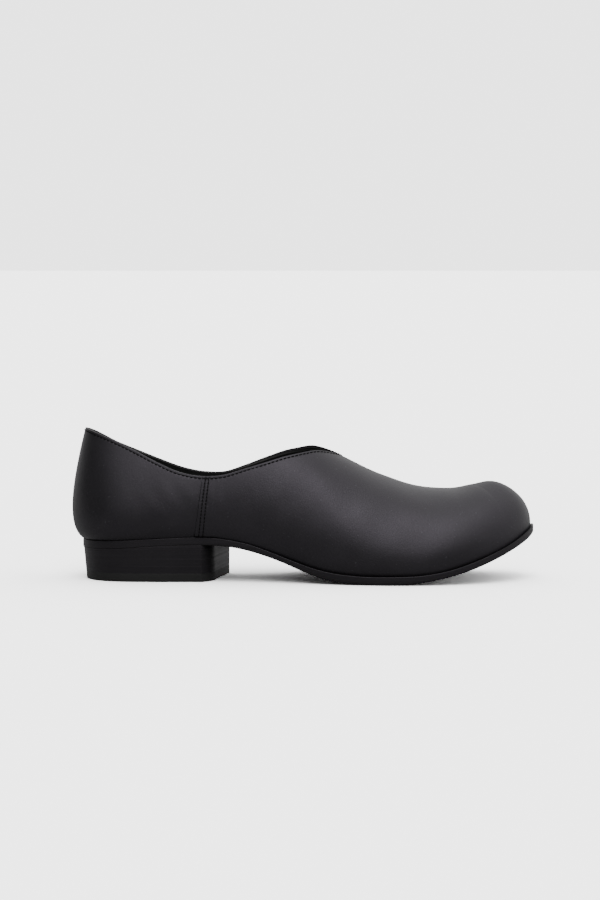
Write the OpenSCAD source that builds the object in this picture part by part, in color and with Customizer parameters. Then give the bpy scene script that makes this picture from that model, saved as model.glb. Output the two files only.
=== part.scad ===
// Slip-on leather shoe with a wide round toe, a deep scooped opening and a low stacked heel.
// The right shoe of a pair, in millimetres, toe along +X, the outer side of the foot along -Y.
// It stands on the floor at Z = 0 on its heel and on the ball of the sole.

/* [Shoe] */
// overall length from the back of the heel to the tip of the sole
shoe_length = 300; // [270:1:330]
// width of the sole across the ball of the foot
ball_width = 106; // [94:1:118]
// height of the peak at the back above the floor
back_height = 98; // [88:1:110]

/* [Upper] */
// thickness of the outer leather
leather = 1.3; // [1:0.1:2]
// thickness of the lining leather
lining = 0.8; // [0.6:0.1:1.2]
// thickness of the stiffeners between the leather and the lining
stiffener = 0.7; // [0.5:0.1:1]
// clear space between two layers of the upper
layer_gap = 0.3; // [0.25:0.05:0.5]
// width of the edge that turns in under the insole
lasting_margin = 14; // [10:1:18]
// how far the vamp laps over the quarters at the side seam
seam_lap = 7; // [5:1:9]
// width of the tape that keeps the opening from stretching
tape_width = 7; // [5:1:10]

/* [Stitching] */
// length of one stitch along the opening
edge_stitch = 2.7; // [2:0.1:4]
// length of one stitch along the side seams
seam_stitch = 2.2; // [1.8:0.1:3]
// thickness of the sewing thread
thread = 0.45; // [0.3:0.05:0.7]
// distance of the stitch row from the cut edge of the opening
edge_row = 1.6; // [1.2:0.1:3]

/* [Bottom] */
// how far the sole stands out past the upper around the toe
sole_lip = 2; // [1:0.5:4]
// thickness of the insole board
insole_thick = 2; // [1.5:0.1:3]
// thickness of the sock liner over the insole
sock_thick = 1; // [0.8:0.1:2]
// thickness of the foam pad under the heel
pad_thick = 2; // [1:0.5:4]
// thickness of the steel shank
shank_thick = 1.2; // [0.8:0.1:2]
// width of the steel shank
shank_width = 14; // [10:1:18]

/* [Heel] */
// thickness of the rubber top piece that meets the floor
top_piece_thick = 5.5; // [4:0.5:8]
// thickness of each leather lift
lift_thick = 4.7; // [4:0.1:5]
// how much smaller the heel is at the floor than at the seat, on each side
heel_taper = 2.2; // [0:0.2:4]
// diameter of the heel nails
nail_size = 2; // [1.5:0.1:3]
// clearance around each nail in the layers that it passes through
nail_clearance = 0.3; // [0.25:0.05:0.5]

/* [Hidden] */

// Curves of the last. A station runs from 0 at the back of the heel to 15 at the tip of the toe
// along either side, and each list holds one value for every station.
// distance of the sole's edge from the back of the shoe
edge_x = [8, 11, 19.5, 34, 58, 86, 114, 142, 168, 193, 218, 242, 264, 282, 293.5, 297.5];
// half width of the sole's edge on the outer side and on the inner side of the foot
outer_y = [0, 14, 25, 31.5, 33.5, 33.5, 35.5, 40, 46, 50.5, 52, 50, 43.5, 32.5, 18, 0];
inner_y = [0, 14, 25, 31, 31.5, 29, 29, 34, 42, 48, 50, 47.5, 41, 30.5, 17, 0];
// line over the middle of the shoe where the two sides meet, carried on above the opening
crest_x = [10, 12.6, 20, 34, 58, 84, 108, 132, 154, 176, 200, 224, 244, 258, 267, 270];
crest_y = [0, 9.5, 16.5, 19.5, 17, 9, 3, 0, 0, 0, 0, 0, 0, 0, 0, 0];
crest_z = [99, 99, 99, 99, 100, 101, 102.5, 99.5, 91, 78.8, 67.4, 59.6, 58, 60.2, 62.1, 62.4];
// angle at which the wall leaves the sole, measured outward from upright, and its fullness
foot_lean = [60, 58, 54, 48, 40, 34, 30, 30, 32, 34, 34, 30, 22, 12, 6, 4];
foot_pull = [15.5, 15, 15, 15, 15, 16, 18, 20, 20, 19, 18, 17, 16, 15.5, 15.4, 15.4];
// angle at which the wall leans in at the crest, measured from upright, and its fullness
crest_lean = [14, 14, 15, 18, 30, 55, 78, 90, 90, 90, 90, 90, 90, 90, 90, 90];
crest_pull = [30, 30, 30, 29, 27, 26, 28, 31, 33, 33, 34, 36, 34, 26, 18, 15.1];
// direction of the wall at the crest seen from above: 0 points back, 90 sideways, 180 forward
crest_turn = [0, 25, 50, 78, 90, 90, 90, 90, 90, 90, 90, 90, 98, 122, 150, 180];
last_station = 15;

// Heights along the shoe, as pairs of distance from the back and height above the floor.
// the groove where the upper meets the sole
seat_line = [[0, 25.6], [30, 26.8], [64, 28.6], [82, 29.2], [95, 28.7], [103, 27.6], [116, 24.9],
    [127, 21.2], [144, 14.8], [153, 11.6], [164, 8.6], [180, 6.4], [208, 5.8], [225, 6.6],
    [241, 9.2], [263, 16.2], [274, 20.8], [285, 26.2], [297.5, 34]];
// the underside of the sole
sole_line = [[0, 20.6], [30, 21.6], [64, 23.8], [85, 24.2], [95, 23.5], [103, 22.8], [117, 20],
    [127, 17], [138, 13], [148, 8.8], [156, 5.6], [164, 3.1], [175, 1.2], [188, 0.3], [204, 0],
    [218, 0.7], [236, 3.5], [252, 7.6], [264, 11.8], [274, 16], [284, 20.8], [294, 26.2], [301, 30.5]];
// the edge of the opening, which is cut a little lower on the inner side
outer_opening_line = [[9, 97.8], [15, 95.8], [28, 90.8], [42, 84.4], [58, 76.2], [72, 70.4],
    [86, 68], [98, 68.6], [112, 72.5], [126, 76.7], [140, 80.8], [150, 82.6], [160, 83]];
inner_opening_line = [[9, 97.8], [15, 94.6], [28, 87.4], [42, 81.4], [58, 74.7], [72, 69.6],
    [86, 66.9], [98, 66.8], [112, 71.2], [126, 76.6], [140, 81.6], [150, 83.6], [160, 84.6]];
// The front of the opening is a narrow rounded end, set by its half width seen from above.
throat_x = 174;
throat_length = 41;
outer_opening = 26;
inner_opening = 23;
function open_width(x, side) =
    (side < 0 ? outer_opening : inner_opening)
    * (1 - max(0, 1 - (throat_x - x) / throat_length) ^ 1.7) ^ 0.75;
// Above zero where a point at this place lies inside the opening.
function above_edge(p, side) =
    let (b = ease((p[0] - 146) / 14))
    (1 - b) * (p[2] - height(side < 0 ? outer_opening_line : inner_opening_line, p[0]))
    + (b == 0 ? 0 : b * 0.6 * (open_width(min(p[0], throat_x), side) - abs(p[1])));

// Scale from the last's own size to the size asked for.
own_length = 298.603;
own_width = 106;
own_height = 97.587;
grow_x = shoe_length / own_length;
grow_y = ball_width / own_width;
grow_z = back_height / own_height;
// moves the shoe so that its box is centred on the origin
centre_x = -150.135 * grow_x;
centre_y = 1 * grow_y;

// Depths of the layers of the upper below its outer surface.
stiff_out = leather + layer_gap;
stiff_in = stiff_out + stiffener;
lining_out = stiff_in + layer_gap;
lining_in = lining_out + lining;
insole_low = lining_in + layer_gap;
insole_high = insole_low + insole_thick;
sock_high = insole_high + sock_thick;

// Stations of the side seam and of the front end of the opening.
seam = 5.06;
seam_slant = 0.24;
station_length = 27;
lap = seam_lap / station_length;
lap_rise = 1;

// A value between the entries of a list, along a smooth curve through them.
function even(v) = concat([v[1]], v, [v[len(v) - 2]]);
function odd(v) = concat([2 * v[0] - v[1]], v, [2 * v[len(v) - 1] - v[len(v) - 2]]);
function spline(v, u) =
    let (i = max(0, min(floor(u), last_station - 1)), f = u - i)
    let (a = v[i], b = v[i + 1], c = v[i + 2], d = v[i + 3])
    b + f / 2 * (c - a + f * (2 * a - 5 * b + 4 * c - d + f * (3 * (b - c) + d - a)));

edge_x_s = even(edge_x);
outer_y_s = odd(outer_y);
inner_y_s = odd(inner_y);
crest_x_s = even(crest_x);
crest_y_s = odd(crest_y);
crest_z_s = even(crest_z);
foot_lean_s = even(foot_lean);
foot_pull_s = even(foot_pull);
crest_lean_s = even(crest_lean);
crest_pull_s = even(crest_pull);
crest_turn_s = odd(crest_turn);

// Height of a line at distance x from the back, along a smooth curve through its points.
function slope(p, i) =
    i == 0 ? rise(p, 0)
    : i == len(p) - 1 ? rise(p, i - 1)
    : let (a = p[i][0] - p[i - 1][0], b = p[i + 1][0] - p[i][0])
      (rise(p, i - 1) * b + rise(p, i) * a) / (a + b);
function rise(p, i) = (p[i + 1][1] - p[i][1]) / (p[i + 1][0] - p[i][0]);
function span(p, x, i = 0) = i >= len(p) - 2 || x < p[i + 1][0] ? i : span(p, x, i + 1);
function height(p, x) =
    x <= p[0][0] ? p[0][1] + slope(p, 0) * (x - p[0][0])
    : x >= p[len(p) - 1][0] ? p[len(p) - 1][1] + slope(p, len(p) - 1) * (x - p[len(p) - 1][0])
    : let (i = span(p, x), h = p[i + 1][0] - p[i][0], t = (x - p[i][0]) / h)
      (2 * t ^ 3 - 3 * t ^ 2 + 1) * p[i][1] + (t ^ 3 - 2 * t ^ 2 + t) * h * slope(p, i)
      + (3 * t ^ 2 - 2 * t ^ 3) * p[i + 1][1] + (t ^ 3 - t ^ 2) * h * slope(p, i + 1);
function clamp(x) = max(0, min(1, x));
function ease(x) = let (t = clamp(x)) t * t * (3 - 2 * t);

// The edge of the sole at a station and the direction that points out of the shoe there.
function edge(u, side) =
    [spline(edge_x_s, u), side * spline(side < 0 ? outer_y_s : inner_y_s, u)];
function outward(u, side) =
    let (e = 0.01, a = edge(max(0, u - e), side), b = edge(min(last_station, u + e), side))
    let (t = u < e ? [0, side] : u > last_station - e ? [0, -side] : (b - a) / norm(b - a))
    side < 0 ? [t[1], -t[0]] : [-t[1], t[0]];
// The edge moved out by an amount, as a point on the ground plane.
function edge_out(u, side, out) = edge(u, side) + out * outward(u, side);

// The four control points of the wall at a station, for a layer at a depth below the surface.
function crest_rise(u) =
    u < 11 ? 0
    : let (e = 0.01, a = min(u, last_station - 2 * e))
      (spline(crest_z_s, a + e) - spline(crest_z_s, a - e))
      / (spline(crest_x_s, a + e) - spline(crest_x_s, a - e));
function wall_curve(u, side, depth) =
    let (f = edge(u, side), n = outward(u, side))
    let (al = spline(foot_lean_s, u), be = spline(crest_lean_s, u), turn = spline(crest_turn_s, u))
    let (low = spline(foot_pull_s, u) - 0.55 * depth, high = spline(crest_pull_s, u) - 0.55 * depth)
    let (m = [-cos(turn), side * sin(turn)], k = depth * (1 - sin(al)) / cos(al))
    let (p0 = [f[0] - n[0] * k, f[1] - n[1] * k, height(seat_line, f[0]) + depth])
    let (p1 = p0 + low * [n[0] * sin(al), n[1] * sin(al), cos(al)])
    let (r = [spline(crest_x_s, u), side * max(0, spline(crest_y_s, u)), spline(crest_z_s, u)])
    let (p3 = r - depth * [m[0] * cos(be), m[1] * cos(be), sin(be)])
    let (p2 = p3 + high * [m[0] * sin(be), m[1] * sin(be), m[0] * crest_rise(u) - cos(be)])
    [p0, p1, p2, p3];
function along(c, w) =
    (1 - w) ^ 3 * c[0] + 3 * w * (1 - w) ^ 2 * c[1] + 3 * w ^ 2 * (1 - w) * c[2] + w ^ 3 * c[3];

// How far up the wall the opening cuts it: 1 where the wall runs on to the crest.
function cut(c, side, low = 0.2, high = 1, n = 14) =
    n == 0 ? high
    : let (m = (low + high) / 2, p = along(c, m))
      above_edge(p, side) > 0
      ? cut(c, side, low, m, n - 1)
      : cut(c, side, m, high, n - 1);
function opening(u, side) = u >= throat - 0.0001 ? 1 : cut(wall_curve(u, side, 0), side);

// the station at the front end of the opening
function station_at(x, low, high, n) =
    let (m = (low + high) / 2)
    n == 0 ? m
    : spline(crest_x_s, m) < x ? station_at(x, m, high, n - 1) : station_at(x, low, m, n - 1);
throat = station_at(throat_x, 7, 10, 18);

// A point of the upper. Row t runs from -1 at the inner end of the turned-in edge to 0 at the
// edge of the sole, and on to 1 at the opening or the crest.
function slanted(u, t) = u - seam_slant * (1 - clamp(t)) * clamp(1 - abs(u - seam) / 1.5);
function on_upper(u, side, depth, t, top) =
    let (v = slanted(u, t), c = wall_curve(v, side, depth))
    t > 0 ? along(c, t - (1 - top) * t ^ 1.5)
    : let (n = outward(v, side), x = c[0][0] + n[0] * t * lasting_margin)
      [x, c[0][1] + n[1] * t * lasting_margin, height(seat_line, x) + depth];
// The finished place of a point that is given in the last's own frame.
function placed(p) = [p[0] * grow_x + centre_x, p[1] * grow_y + centre_y, p[2] * grow_z];

rows = [-1, -0.5, -0.15, 0, 0.04, 0.1, 0.18, 0.27, 0.37, 0.48, 0.6, 0.72, 0.84, 0.93, 1];
function steps(a, b, n) = [for (i = [0:n]) a + (b - a) * i / n];

// Faces of a sheet with an outer and an inner skin, each a grid of n columns and m rows.
function quad(a, b, c, d, flip) = flip ? [[a, c, b], [a, d, c]] : [[a, b, c], [a, c, d]];
function join(l) = [for (a = l) for (b = a) b];
function sheet_faces(n, m) =
    let (k = n * m)
    join(concat(
        [for (i = [0:n - 2]) for (j = [0:m - 2])
            quad(i * m + j, i * m + j + 1, (i + 1) * m + j + 1, (i + 1) * m + j, false)],
        [for (i = [0:n - 2]) for (j = [0:m - 2])
            quad(k + i * m + j, k + i * m + j + 1, k + (i + 1) * m + j + 1, k + (i + 1) * m + j, true)],
        [for (i = [0:n - 2]) quad(i * m, (i + 1) * m, k + (i + 1) * m, k + i * m, false)],
        [for (i = [0:n - 2])
            quad(i * m + m - 1, (i + 1) * m + m - 1, k + (i + 1) * m + m - 1, k + i * m + m - 1, true)],
        [for (j = [0:m - 2]) quad(j, j + 1, k + j + 1, k + j, true)],
        [for (j = [0:m - 2])
            quad((n - 1) * m + j, (n - 1) * m + j + 1, k + (n - 1) * m + j + 1, k + (n - 1) * m + j, false)]
    ));
// A sheet from two grids of points, the outer skin and the inner skin.
module sheet(outside, inside) {
    n = len(outside);
    m = len(outside[0]);
    polyhedron(
        points = [for (p = concat(join(outside), join(inside))) placed(p)],
        faces = sheet_faces(n, m),
        convexity = 8
    );
}

// The places around the heel: station pairs from one side, round the back, to the other.
function round_heel(far, n) = concat(
    [for (u = steps(far, 0, n)) [u, -1]],
    [for (i = [1:n]) [far * i / n, 1]]
);
function skin(places, depth, rows) =
    [for (q = places) let (top = opening(q[0], q[1])) [for (t = rows) on_upper(q[0], q[1], depth, t, top)]];

// The front of a layer that runs over the crest. Outer and inner skins hold two sides each;
// the sides share their points along the crest and at the tip of the toe.
function front_id(skin, side, i, j, n, m, split, tip) =
    let (s = (j == m - 1 && i >= split) || (tip && i == n - 1) ? 0 : side)
    ((skin * 2 + s) * n + i) * m + j;
function front_quads(n, m, split, tip, skin, side) =
    [for (i = [0:n - 2]) for (j = [0:m - 2])
        quad(front_id(skin, side, i, j, n, m, split, tip),
            front_id(skin, side, i, j + 1, n, m, split, tip),
            front_id(skin, side, i + 1, j + 1, n, m, split, tip),
            front_id(skin, side, i + 1, j, n, m, split, tip), (skin + side) % 2 == 1)];
function front_rim(n, m, split, tip, side, i0, j0, i1, j1, flip) =
    quad(front_id(0, side, i0, j0, n, m, split, tip), front_id(0, side, i1, j1, n, m, split, tip),
        front_id(1, side, i1, j1, n, m, split, tip), front_id(1, side, i0, j0, n, m, split, tip),
        side == 0 ? !flip : flip);
function front_faces(n, m, split, tip) = join(concat(
    [for (skin = [0, 1]) for (side = [0, 1]) each front_quads(n, m, split, tip, skin, side)],
    [for (side = [0, 1]) for (i = [0:n - 2])
        front_rim(n, m, split, tip, side, i, 0, i + 1, 0, true)],
    split > 0 ? [for (side = [0, 1]) for (i = [0:split - 1])
        front_rim(n, m, split, tip, side, i, m - 1, i + 1, m - 1, false)] : [],
    [for (side = [0, 1]) for (j = [0:m - 2])
        front_rim(n, m, split, tip, side, 0, j, 0, j + 1, false)],
    tip ? [] : [for (side = [0, 1]) for (j = [0:m - 2])
        front_rim(n, m, split, tip, side, n - 1, j, n - 1, j + 1, true)]
));
module front(outside, inside, split, tip) {
    polyhedron(
        points = [for (p = join(concat(outside[0], outside[1], inside[0], inside[1]))) placed(p)],
        faces = front_faces(len(outside[0]), len(outside[0][0]), split, tip),
        convexity = 8
    );
}
// Stations that crowd together toward the throat, where the edge of the opening turns in.
function toward_throat(a, n) = [for (i = [0:n]) throat - (throat - a) * (1 - i / n) ^ 2];
// Stations of a front layer: from its rear edge to the throat, then on to its front edge.
function front_stations(rear, ahead, before, after) =
    concat(rear < throat ? toward_throat(rear, before) : [rear],
        [for (i = [1:after]) let (a = max(rear, throat)) a + (ahead - a) * i / after]);
function front_skin(stations, depth, rows) =
    [for (side = [-1, 1]) [for (u = stations) let (top = opening(u, side))
        [for (t = rows) on_upper(u, side, depth, t, top)]]];

// The vamp rises over the front edges of the quarters along the side seams.
function lap_height(u, t) = lap_rise * clamp(t / 0.04) * (1 - ease((u - seam) / lap - 1.1));
function vamp_skin(stations, inner) =
    [for (side = [-1, 1]) [for (u = stations) let (top = opening(u, side))
        [for (t = rows)
            let (rise = lap_height(u, t))
            let (thick = leather - 0.4 * rise)
            on_upper(u, side, (inner ? thick : 0) - rise, t, top)]]];
// The quarter's front edge slips under the vamp, except at the very bottom of the wall.
function quarter_front(t) = seam - 0.01 + (lap + 0.01) * clamp((t - 0.05) / 0.1);
function quarter_skin(side, depth, n) =
    [for (i = [0:n]) let (f = i / n, top = opening(f * (seam + lap), side))
        [for (t = rows) let (u = f * quarter_front(t)) on_upper(u, side, depth, t, top)]];

// Flat layers of the bottom. A level is a ring of points around the shoe between two stations.
function ring_rows(first, final, n, out, line, lift) =
    [for (u = steps(first, final, n)) [for (side = [-1, 1])
        let (p = edge_out(u, side, out(u))) [p[0], p[1], height(line, p[0]) + lift]]];
// A solid from a stack of levels, each a list of rows with one point on either side.
function stack_quads(n, a, b) = join(concat(
    [for (i = [0:n - 2]) quad(a + 2 * i, b + 2 * i, b + 2 * i + 2, a + 2 * i + 2, false)],
    [for (i = [0:n - 2]) quad(a + 2 * i + 1, b + 2 * i + 1, b + 2 * i + 3, a + 2 * i + 3, true)]
));
function stack_cap(n, a, flip) = join(
    [for (i = [0:n - 2]) quad(a + 2 * i, a + 2 * i + 1, a + 2 * i + 3, a + 2 * i + 2, flip)]);
function stack_end(n, a, b, i, flip) =
    quad(a + 2 * i, a + 2 * i + 1, b + 2 * i + 1, b + 2 * i, flip);
module stack(levels) {
    n = len(levels[0]);
    polyhedron(
        points = [for (p = join(join(levels))) placed(p)],
        faces = concat(
            join([for (l = [0:len(levels) - 2]) stack_quads(n, 2 * n * l, 2 * n * (l + 1))]),
            join([for (l = [0:len(levels) - 2]) stack_end(n, 2 * n * l, 2 * n * (l + 1), 0, false)]),
            join([for (l = [0:len(levels) - 2]) stack_end(n, 2 * n * l, 2 * n * (l + 1), n - 1, true)]),
            stack_cap(n, 0, true),
            stack_cap(n, 2 * n * (len(levels) - 1), false)
        ),
        convexity = 6
    );
}
// just off the very ends of the outline, so that the end faces have a little width
heel_tip = 0.12;
toe_tip = last_station - 0.12;

// How far the sole stands out past the upper: flush at the heel, a lip round the front.
function lip(u) = 0.2 + (sole_lip - 0.2) * ease((u - 4) / 4);
// How far inside the upper's edge the inner face of the lining stands.
function inside_edge(u) =
    let (al = spline(foot_lean_s, u)) -layer_gap - 0.2 - lining_in * (1 - sin(al)) / cos(al);

// Heel: rows from the back to the breast, the front face, which is hollow and slants in plan.
breast_outer = 5.23;
breast_inner = 5.6;
breast_hollow = 1.5;
// how far the rounded outer and inner corners of the breast fall back, and the part of the
// width of the heel that each takes up
outer_corner = 7;
inner_corner = 1;
outer_part = 0.3;
inner_part = 0.1;
heel_rows = 10;
heel_columns = 14;
seat_height = 24;
function corner_back(k) = outer_corner * max(0, 1 - k / outer_part) ^ 3
    + inner_corner * max(0, 1 - (1 - k) / inner_part) ^ 3;
function heel_point(r, c, inset) =
    let (f = r / heel_rows, k = (1 - cos(180 * c / heel_columns)) / 2)
    let (a = edge_out(heel_tip + (breast_outer - heel_tip) * f, -1, -inset))
    let (b = edge_out(heel_tip + (breast_inner - heel_tip) * f, 1, -inset))
    [a[0] + (b[0] - a[0]) * k - breast_hollow * f ^ 3 * 4 * k * (1 - k) - corner_back(k) * f ^ 6,
        a[1] + (b[1] - a[1]) * k];
function heel_inset(z) = heel_taper * clamp(1 - z / seat_height);
function heel_grid(z, line) =
    [for (r = [0:heel_rows]) [for (c = [0:heel_columns])
        let (p = heel_point(r, c, heel_inset(z)))
        [p[0], p[1], line == undef ? z : height(line, p[0]) + z - seat_height]]];
module heel_layer(low, high, line = undef) {
    sheet(heel_grid(high, line), heel_grid(low));
}

// Places of the nails, as distance from the back and distance from the middle.
heel_nail_spots = [[27, 0], [38, -13], [38, 13], [64, -14], [64, 13]];
top_nail_spots = [[26, -17], [26, 17], [48, -23], [48, 23], [74, -22], [74, 21]];
rivet_spots = [[52, 0], [140, 0]];
rivet_size = 3;
function seat(x) = height(seat_line, x) * grow_z;
module nail_holes(spots, low, size = nail_size) {
    for (p = spots) {
        translate([p[0] * grow_x + centre_x, p[1] * grow_y + centre_y, low])
            cylinder(h = 60, d = size + 2 * nail_clearance, $fn = 24);
    }
}
module nail(p, low, high, size = nail_size) {
    translate([p[0] * grow_x + centre_x, p[1] * grow_y + centre_y, low])
        cylinder(h = high - low, d = size, $fn = 24);
}

// A stitch is a short round bar that lies on the leather between two points.
module stitch(a, b) {
    v = b - a;
    translate(a)
        rotate([0, acos(v[2] / norm(v)), atan2(v[1], v[0])])
            cylinder(h = norm(v), d = thread, $fn = 16);
}

// A row of stitches along a line of points, with the needle holes set at equal distances.
function lengths(p) =
    [for (i = 0, sum = 0; i < len(p); i = i + 1, sum = sum + (i < len(p) ? norm(p[i] - p[i - 1]) : 0)) sum];
function point_at(p, l, s, i = 1) =
    i == len(p) - 1 || l[i] >= s
    ? p[i - 1] + (p[i] - p[i - 1]) * (s - l[i - 1]) / (l[i] - l[i - 1])
    : point_at(p, l, s, i + 1);
module stitch_row(p, pitch) {
    l = lengths(p);
    total = l[len(l) - 1];
    count = floor(total / pitch);
    for (i = [0:count - 1]) {
        a = point_at(p, l, (i + 0.14) * total / count);
        b = point_at(p, l, (i + 0.86) * total / count);
        stitch(a, b);
    }
}

// The line of the stitches along the opening: the edge, moved down over the leather.
function edge_frame(u, side) =
    let (rise = u < seam ? 0 : lap_height(u, 1))
    let (top = opening(u, side), c = wall_curve(u, side, -rise))
    [placed(along(c, top)), placed(along(c, top - 0.03))];
function edge_places(n) = concat(
    [for (i = [0:n]) [throat * (1 - (1 - i / n) ^ 1.6), -1]],
    [for (i = [1:n]) [throat * (1 - (i / n) ^ 1.6), 1]]
);
function edge_line(n) =
    let (e = [for (q = edge_places(n)) edge_frame(q[0], q[1])])
    [for (i = [1:len(e) - 2])
        let (t = unit(e[i + 1][0] - e[i - 1][0]), down = e[i][1] - e[i][0])
        let (out = unit(cross(down, t)), d = cross(t, out))
        e[i][0] + d * edge_row + out * (thread / 2 + 0.05)];
function unit(v) = v / norm(v);
// The line of a stitch row along a side seam, at a distance ahead of the vamp's rear edge.
function seam_line(side, ahead) =
    let (u = seam + ahead / station_length, top = opening(u, side))
    [for (t = steps(0.05, 0.965, 16))
        placed(on_upper(u, side, -lap_height(u, t) - thread / 2 - 0.05, t, top))];

module vamp() {
    stations = front_stations(seam, last_station, 14, 20);
    color("#222124") front(vamp_skin(stations, false), vamp_skin(stations, true), 14, true);
}
module lateral_quarter() {
    color("#232225") sheet(quarter_skin(-1, 0, 16), quarter_skin(-1, leather, 16));
}
module medial_quarter() {
    color("#232225") sheet(quarter_skin(1, leather, 16), quarter_skin(1, 0, 16));
}
lining_seam = 4.6;
module vamp_lining() {
    stations = front_stations(lining_seam + 0.01, last_station, 12, 16);
    color("#141416") front(
        front_skin(stations, lining_out, rows), front_skin(stations, lining_in, rows), 12, true);
}
module quarter_lining() {
    places = round_heel(lining_seam, 12);
    color("#161618") sheet(skin(places, lining_in, rows), skin(places, lining_out, rows));
}
puff_rear = 11.6;
module toe_puff() {
    stations = front_stations(puff_rear, last_station, 0, 9);
    color("#8a7f6a") front(
        front_skin(stations, stiff_out, rows), front_skin(stations, stiff_in, rows), 0, true);
}
module vamp_interlining() {
    stations = front_stations(throat + 0.1, puff_rear - 0.02, 0, 7);
    color("#d8d4c8") front(
        front_skin(stations, stiff_out, rows), front_skin(stations, stiff_in, rows), 0, false);
}
counter_rows = [-1, -0.5, -0.15, 0, 0.04, 0.1, 0.18, 0.27, 0.37, 0.48, 0.6, 0.7];
module heel_counter() {
    places = round_heel(4.3, 10);
    color("#7c6a52") sheet(
        skin(places, stiff_in, counter_rows), skin(places, stiff_out, counter_rows));
}
tape_high = 0.985;
function tape_rows(u, side) =
    let (c = wall_curve(u, side, 0), top = opening(u, side))
    let (run = norm(along(c, top) - along(c, top - 0.05)) / 0.05)
    [tape_high - tape_width / run, tape_high - tape_width / run / 2, tape_high];
function tape_skin(places, depth) =
    [for (q = places) let (top = opening(q[0], q[1]))
        [for (t = tape_rows(q[0], q[1])) on_upper(q[0], q[1], depth, t, top)]];
module topline_tape() {
    places = round_heel(throat - 0.3, 22);
    color("#cfcac0") sheet(tape_skin(places, stiff_in), tape_skin(places, stiff_out));
}

module insole_board() {
    color("#a98a63") difference() {
        stack([
            ring_rows(heel_tip, toe_tip, 30, function(u) inside_edge(u), seat_line, insole_low),
            ring_rows(heel_tip, toe_tip, 30, function(u) inside_edge(u), seat_line, insole_high)
        ]);
        nail_holes(heel_nail_spots, 10);
        nail_holes(rivet_spots, 5, rivet_size);
    }
}
module sock_liner() {
    color("#19191b") stack([
        ring_rows(heel_tip, toe_tip, 30, function(u) inside_edge(u), seat_line, insole_high + 0.05
            + pad_thick),
        ring_rows(heel_tip, toe_tip, 30, function(u) inside_edge(u), seat_line, insole_high + 0.05
            + pad_thick + sock_thick)
    ]);
}
module heel_pad() {
    color("#3a3a40") stack([
        ring_rows(0.8, 4.4, 10, function(u) inside_edge(u) - 4, seat_line, insole_high + 0.05),
        ring_rows(0.8, 4.4, 10, function(u) inside_edge(u) - 4, seat_line, insole_high + pad_thick)
    ]);
}
module shank() {
    w = shank_width / 2;
    function rail(lift) = [for (x = steps(44, 150, 16))
        [for (side = [-1, 1]) [x, side * w / grow_y, height(seat_line, x) + lift]]];
    color("#9a9da2") difference() {
        stack([rail(0.8), rail(0.8 + shank_thick)]);
        nail_holes(rivet_spots, 5, rivet_size);
    }
}
module shank_rivets() {
    color("#b0b2b6") for (p = rivet_spots) {
        nail(p, seat(p[0]) + 0.3, seat(p[0]) + insole_high - 0.3, rivet_size);
    }
}
module bottom_filler() {
    color("#b48a5a") stack([
        ring_rows(8.2, 14.1, 14, function(u) -lasting_margin - 2, seat_line, 0.1),
        ring_rows(8.2, 14.1, 14, function(u) -lasting_margin - 2, seat_line, insole_low - 0.2)
    ]);
}
module outsole() {
    color("#1d1c1e") difference() {
        stack([
            ring_rows(heel_tip, toe_tip, 44, function(u) lip(u) - 1.2, sole_line, 0),
            ring_rows(heel_tip, toe_tip, 44, function(u) lip(u), sole_line, 1),
            ring_rows(heel_tip, toe_tip, 44, function(u) lip(u), seat_line, -layer_gap)
        ]);
        nail_holes(heel_nail_spots, 10);
    }
}

lift_1 = top_piece_thick;
lift_2 = lift_1 + lift_thick;
lift_3 = lift_2 + lift_thick;
lift_4 = lift_3 + lift_thick;
module heel_rand() {
    color("#242224") difference() {
        heel_layer(lift_4, seat_height - 0.2, sole_line);
        nail_holes(heel_nail_spots, 10);
    }
}
module heel_lift_upper() {
    color("#262426") difference() {
        heel_layer(lift_3, lift_4);
        nail_holes(heel_nail_spots, 10);
    }
}
module heel_lift_middle() {
    color("#242224") difference() {
        heel_layer(lift_2, lift_3);
        nail_holes(heel_nail_spots, lift_2 - 1);
    }
}
module heel_lift_lower() {
    color("#262426") difference() {
        heel_layer(lift_1, lift_2);
        blind_holes();
    }
}
// The nails of the top piece end in short holes in the lift above it.
nail_bite = 1.7;
module blind_holes() {
    for (p = top_nail_spots) {
        translate([p[0] * grow_x + centre_x, p[1] * grow_y + centre_y, lift_1 - 1])
            cylinder(h = 1 + nail_bite + nail_clearance, d = nail_size + 2 * nail_clearance, $fn = 24);
    }
}
module top_piece() {
    color("#18181a") difference() {
        heel_layer(0, lift_1);
        nail_holes(top_nail_spots, -1);
    }
}
module heel_nails() {
    color("#a8a49c") for (p = heel_nail_spots) {
        nail(p, lift_2 + 0.3, seat(p[0]) + insole_high - 0.3);
    }
}
module top_piece_nails() {
    color("#a8a49c") for (p = top_nail_spots) {
        nail(p, 0.2, lift_1 + nail_bite);
    }
}
module topline_stitching() {
    color("#101012") stitch_row(edge_line(70), edge_stitch);
}
module side_seam_stitching() {
    color("#101012") for (side = [-1, 1]) {
        stitch_row(seam_line(side, 2.2), seam_stitch);
        stitch_row(seam_line(side, 4.4), seam_stitch);
    }
}

vamp();
lateral_quarter();
medial_quarter();
vamp_lining();
quarter_lining();
toe_puff();
vamp_interlining();
heel_counter();
topline_tape();
insole_board();
sock_liner();
heel_pad();
shank();
shank_rivets();
bottom_filler();
outsole();
heel_rand();
heel_lift_upper();
heel_lift_middle();
heel_lift_lower();
top_piece();
heel_nails();
top_piece_nails();
topline_stitching();
side_seam_stitching();
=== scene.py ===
"""A black leather slip-on shoe with a wide round toe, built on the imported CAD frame."""

import math

import bmesh
import bpy
import numpy as np
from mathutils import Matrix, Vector, kdtree


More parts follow.
